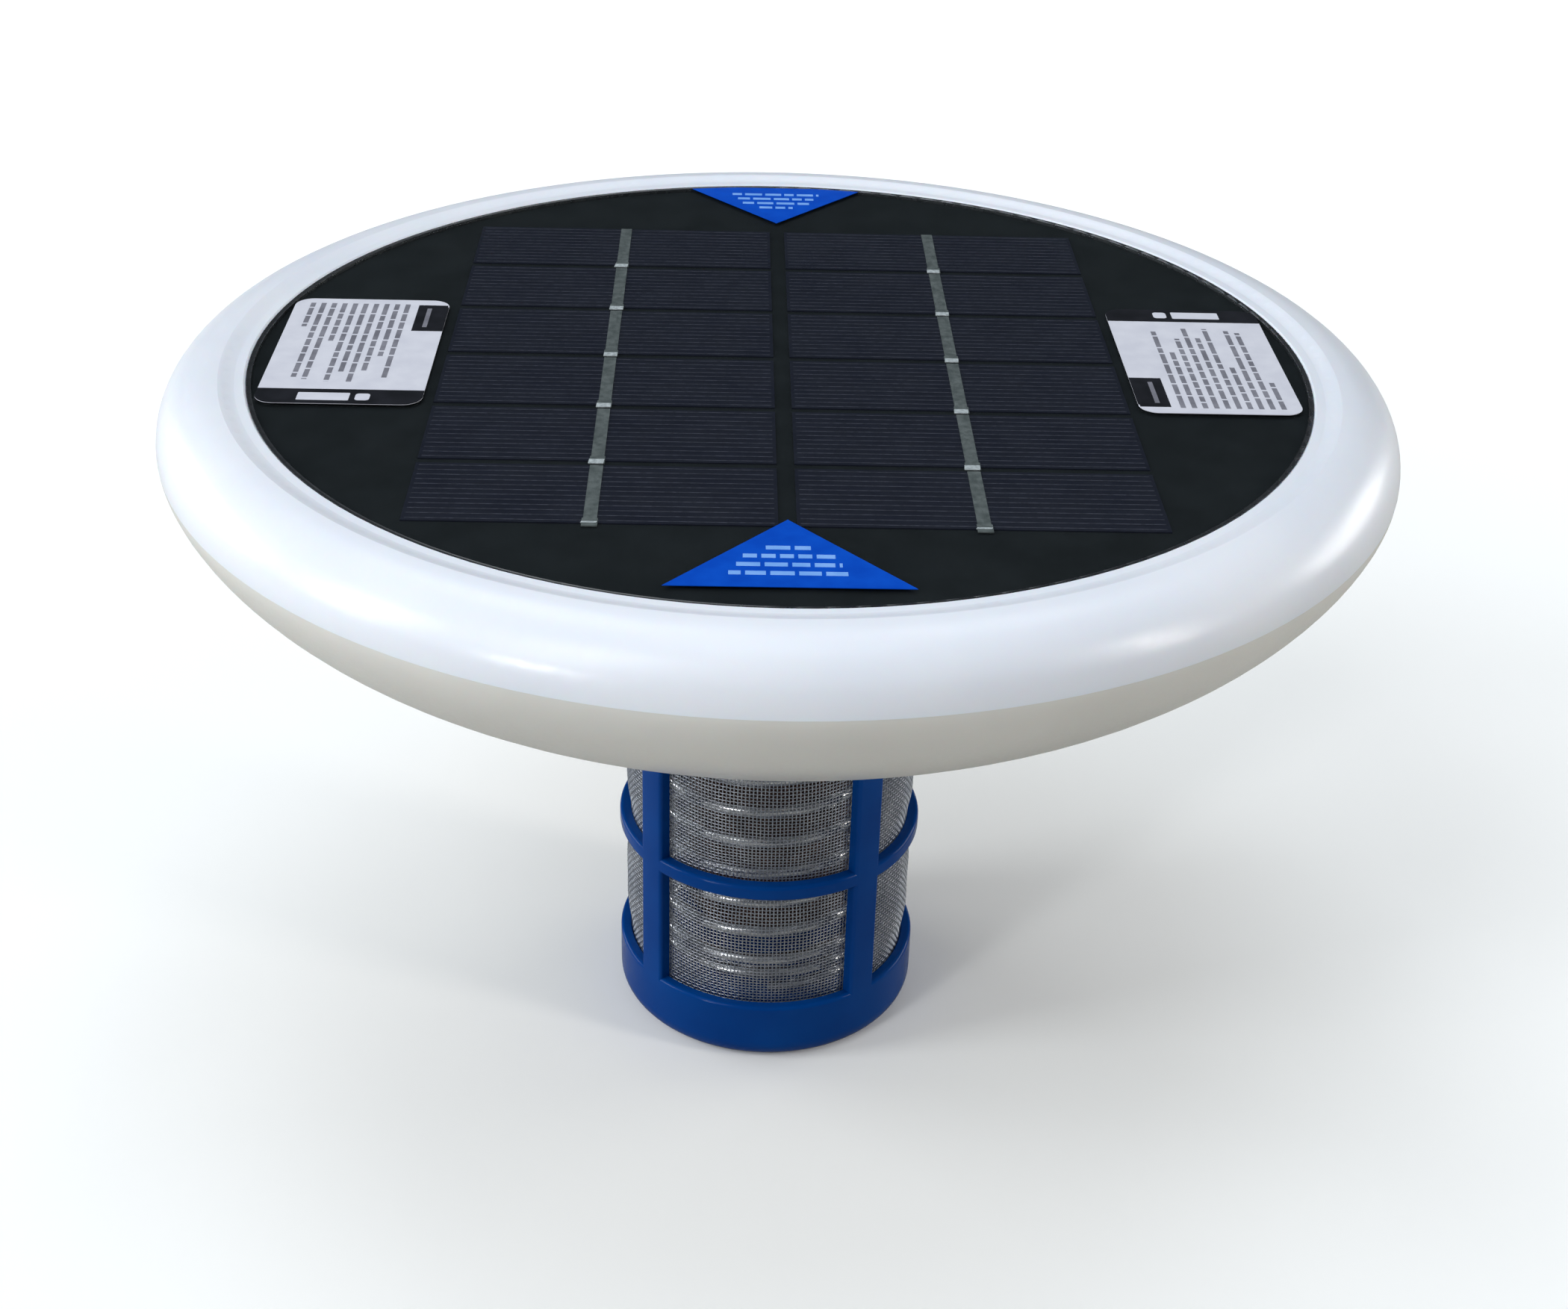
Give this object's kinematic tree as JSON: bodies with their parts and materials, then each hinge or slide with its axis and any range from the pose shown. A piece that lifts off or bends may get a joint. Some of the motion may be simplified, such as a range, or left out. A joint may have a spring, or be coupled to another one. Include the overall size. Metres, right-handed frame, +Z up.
{
  "type": "floating solar water ionizer",
  "caption": "Round solar-panel float over a screened basket that holds a copper anode inside a stainless coil, released by a knob underneath.",
  "frame": {"origin": "centre of the flat rim under the electrode basket, which the object stands on", "axes": "+Z up along the float's axis, -Y to the front (the front triangle label), +X to the right"},
  "size_m": [0.265, 0.265, 0.1667],
  "materials": {
    "white_plastic": "satin moulded white",
    "board_black": "black laminate",
    "silicon": "dark blue wafer with fine finger lines",
    "tab_ribbon": "tinned copper ribbon",
    "clear_glaze": "clear cast layer",
    "black_sealant": "glossy black bead",
    "label_white": "printed film, white card with a black band",
    "label_blue": "printed blue film",
    "box_plastic": "black moulded",
    "brass": "machined",
    "tinned_metal": "tinned",
    "diode_body": "moulded",
    "red_wire": "insulation",
    "black_wire": "insulation",
    "hub_plastic": "satin moulded white",
    "gasket_rubber": "flat gasket",
    "stainless": "bright stainless",
    "copper": "weathered dark copper",
    "blue_plastic": "satin moulded blue",
    "screen_weave": "fine woven screen"
  },
  "bodies": {
    "basket": {"basket_frame": "blue_plastic", "mesh_screen": "screen_weave", "cathode_coil": "stainless"},
    "float": {"solar_cell_left_1": "silicon", "solar_cell_left_2": "silicon", "solar_cell_left_3": "silicon", "solar_cell_left_4": "silicon", "solar_cell_left_5": "silicon", "solar_cell_left_6": "silicon", "tab_ribbons_left": "tab_ribbon", "solar_cell_right_1": "silicon", "solar_cell_right_2": "silicon", "solar_cell_right_3": "silicon", "solar_cell_right_4": "silicon", "solar_cell_right_5": "silicon", "solar_cell_right_6": "silicon", "tab_ribbons_right": "tab_ribbon", "float_upper_shell": "white_plastic", "float_lower_shell": "white_plastic", "panel_board": "board_black", "panel_glaze": "clear_glaze", "panel_sealant": "black_sealant", "info_label_left": "label_white", "info_label_right": "label_white", "triangle_label_front": "label_blue", "triangle_label_rear": "label_blue", "junction_box": "box_plastic", "junction_terminals": "brass", "blocking_diode": "diode_body", "anode_lead": "red_wire", "anode_lug": "tinned_metal", "lug_screw": "stainless", "cathode_lead": "black_wire", "cathode_lug": "tinned_metal", "contact_nut": "stainless", "electrode_hub": "hub_plastic", "hub_gasket": "gasket_rubber", "hub_screws": "stainless", "anode_insert": "brass", "cathode_contact": "stainless", "anode_rod": "stainless", "copper_anode": "copper", "anode_washer": "stainless", "anode_nut": "stainless"},
    "knob_washer": {"knob_washer": "stainless"},
    "knob": {"basket_knob": "blue_plastic", "knob_insert": "brass"}
  },
  "joints": [
    {"name": "basket_removal", "type": "slide", "parent": "basket", "child": "float", "axis": [0, 0, 1], "range_m": [0, 0.11]},
    {"name": "knob_travel", "type": "slide", "parent": "basket", "child": "knob_washer", "axis": [0, 0, -1], "range_m": [0, 0.008]},
    {"name": "knob_turn", "type": "hinge", "parent": "knob_washer", "child": "knob", "pos_m": [0, 0, 0.005], "axis": [0, 0, -1], "range_deg": [0, 2520]}
  ],
  "couplings": [
    {"joint": "knob_travel", "follows": "knob_turn", "m_per_rad": 0.00015915}
  ]
}
